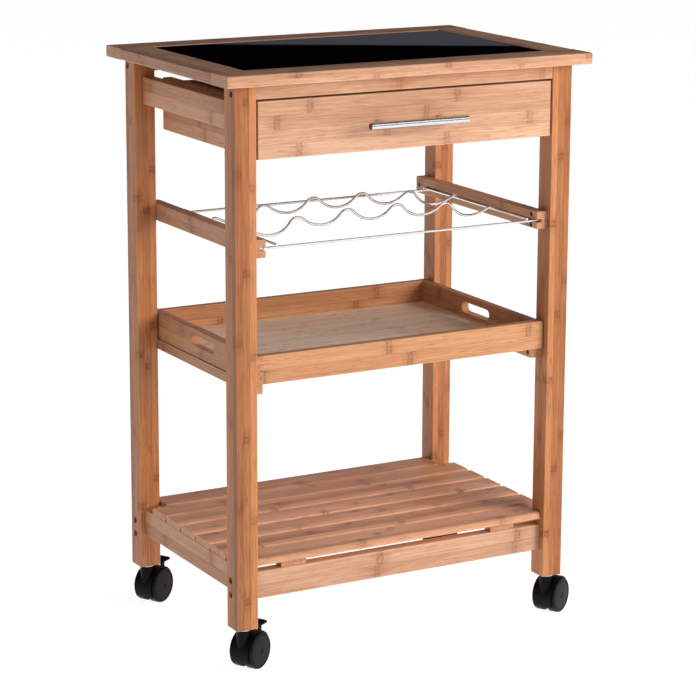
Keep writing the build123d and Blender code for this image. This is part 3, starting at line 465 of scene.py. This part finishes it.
def make_handle_cap(side, end_x, centre_y, centre_z, outward):
    """Dished metal plug in one end of the handle's tube."""
    mesh = bpy.data.meshes.new("handle_cap_" + side)
    bm = bmesh.new()
    rings = []
    for out, radius in CAP_PROFILE:
        x = end_x + outward * out * MM
        if radius == 0.0:
            rings.append([bm.verts.new((x, centre_y, centre_z))])
            continue
        turns = [2 * math.pi * i / CAP_SIDES for i in range(CAP_SIDES)]
        rings.append([bm.verts.new((x, centre_y + radius * MM * math.cos(t),
                                    centre_z + radius * MM * math.sin(t))) for t in turns])
    for near, far in zip(rings, rings[1:]):
        for i in range(CAP_SIDES):
            j = (i + 1) % CAP_SIDES
            corners = [near[i], near[j], far[j], far[i]] if len(far) > 1 else [
                near[i], near[j], far[0]]
            bm.faces.new(corners).smooth = True
    bmesh.ops.recalc_face_normals(bm, faces=bm.faces)
    bm.to_mesh(mesh)
    bm.free()
    mesh.materials.append(CAP_METAL)
    cap = bpy.data.objects.new("handle_cap_" + side, mesh)
    SCENE.collection.objects.link(cap)
    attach(cap, "drawer")


def make_handle_caps():
    """A plug in each end of the drawer's handle."""
    low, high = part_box("drawer_handle")
    centre_y = low[1] + BAR_RADIUS
    centre_z = (low[2] + high[2]) / 2
    make_handle_cap("left", low[0], centre_y, centre_z, -1)
    make_handle_cap("right", high[0], centre_y, centre_z, 1)


make_handle_caps()


# ------------------------------------------------------------------ floor and light
FLOOR_HALF = 14.0
FLOOR_GLOW = 0.92
WHITE = (1.0, 1.0, 1.0)


def make_floor():
    """Wide pale floor, which glows a little so that it stays white."""
    mesh = bpy.data.meshes.new("floor")
    near, far = -FLOOR_HALF, FLOOR_HALF
    mesh.from_pydata([(near, near, 0), (far, near, 0), (far, far, 0), (near, far, 0)],
                     [], [(0, 1, 2, 3)])
    floor = bpy.data.objects.new("floor", mesh)
    g = Graph("floor")
    place, _, _ = g.place()
    g.set(Base_Color=g.blend(g.noise(place, 6.0, 3.0), (0.40, 0.40, 0.41), (0.43, 0.43, 0.44)))
    g.fix(Roughness=0.9, Specular_IOR_Level=0.1)
    g.fix(Emission_Color=(*WHITE, 1.0), Emission_Strength=FLOOR_GLOW)
    mesh.materials.append(g.mat)
    SCENE.collection.objects.link(floor)


def area_light(name, place, target, size, power, colour=WHITE):
    """Rectangular soft light at place that faces target; power in watts."""
    data = bpy.data.lights.new(name, "AREA")
    data.shape = "RECTANGLE"
    data.size, data.size_y = size
    data.energy = power
    data.color = colour
    light = bpy.data.objects.new(name, data)
    light.location = place
    light.rotation_mode = "QUATERNION"
    light.rotation_quaternion = (Vector(target) - Vector(place)).to_track_quat("-Z", "Y")
    SCENE.collection.objects.link(light)
    return light


CARD_DISTANCE = 3.0          # behind the cart, away from the camera
CARD_HALF_WIDTH = 3.5
CARDS = (
    # name, height of its lower and upper edge, colour
    ("card_white", 0.0, 1.10, (0.70, 0.74, 0.86)),
    ("card_grey", 1.10, 1.187, (0.090, 0.090, 0.112)),
    ("card_black", 1.187, 3.20, (0.0, 0.0, 0.0)),
)


def make_card(name, bottom, top, colour):
    """Studio card behind the cart that only mirrors show; the worktop's glass reflects it."""
    away = Vector((-math.sin(CAM_YAW), math.cos(CAM_YAW), 0.0))
    side = Vector((away.y, -away.x, 0.0)) * CARD_HALF_WIDTH
    foot = away * CARD_DISTANCE
    mesh = bpy.data.meshes.new(name)
    corners = [foot - side, foot + side]
    mesh.from_pydata([(c.x, c.y, z) for z in (bottom, top) for c in corners], [], [(0, 1, 3, 2)])
    card = bpy.data.objects.new(name, mesh)
    g = Graph(name)
    g.fix(Base_Color=(0.0, 0.0, 0.0, 1.0), Specular_IOR_Level=0.0)
    g.fix(Emission_Color=(*colour, 1.0), Emission_Strength=1.0)
    mesh.materials.append(g.mat)
    card.visible_camera = False
    card.visible_diffuse = False
    card.visible_shadow = False
    SCENE.collection.objects.link(card)


SKY_RAMP = {                 # brightness of the surroundings against the sine of the height angle
    "From Min": 0.16,
    "From Max": 0.50,
    "To Min": 0.34,
    "To Max": 0.12,
}


def make_world():
    """Plain pale surroundings: white to look at, and as a light bright low and dim above."""
    world = bpy.data.worlds.new("studio")
    world.use_nodes = True
    tree = world.node_tree
    tree.nodes.clear()
    out = tree.nodes.new("ShaderNodeOutputWorld")
    seen = tree.nodes.new("ShaderNodeBackground")
    lit = tree.nodes.new("ShaderNodeBackground")
    mix = tree.nodes.new("ShaderNodeMixShader")
    path = tree.nodes.new("ShaderNodeLightPath")
    place = tree.nodes.new("ShaderNodeTexCoord")
    split = tree.nodes.new("ShaderNodeSeparateXYZ")
    height = tree.nodes.new("ShaderNodeMapRange")
    seen.inputs[0].default_value = (1.0, 1.0, 1.0, 1.0)
    seen.inputs[1].default_value = 1.0
    lit.inputs[0].default_value = (0.90, 0.94, 1.0, 1.0)
    height.interpolation_type = "SMOOTHSTEP"
    for socket, value in SKY_RAMP.items():
        height.inputs[socket].default_value = value
    tree.links.new(place.outputs["Generated"], split.inputs[0])
    tree.links.new(split.outputs[2], height.inputs["Value"])
    tree.links.new(height.outputs["Result"], lit.inputs[1])
    tree.links.new(path.outputs["Is Camera Ray"], mix.inputs[0])
    tree.links.new(lit.outputs[0], mix.inputs[1])
    tree.links.new(seen.outputs[0], mix.inputs[2])
    tree.links.new(mix.outputs[0], out.inputs[0])
    SCENE.world = world


make_floor()
make_world()
for card_facts in CARDS:
    make_card(*card_facts)
KEY = area_light("key", (2.4, -3.1, 1.80), (0.0, 0.0, 0.50), (2.4, 2.0), 158.0, (1.0, 0.975, 0.950))
area_light("fill", (-3.2, -1.6, 1.3), (0.0, 0.0, 0.5), (1.6, 1.8), 6.0, (0.70, 0.80, 1.0))
SHEEN = area_light("sheen", (2.0, -2.9, 2.9), (0.0, 0.0, 0.6), (3.0, 1.2), 20.0)
KEY.visible_glossy = False         # so that the worktop's glass never mirrors it
SHEEN.visible_diffuse = False      # only for highlights
SCENE.view_settings.view_transform = "Standard"
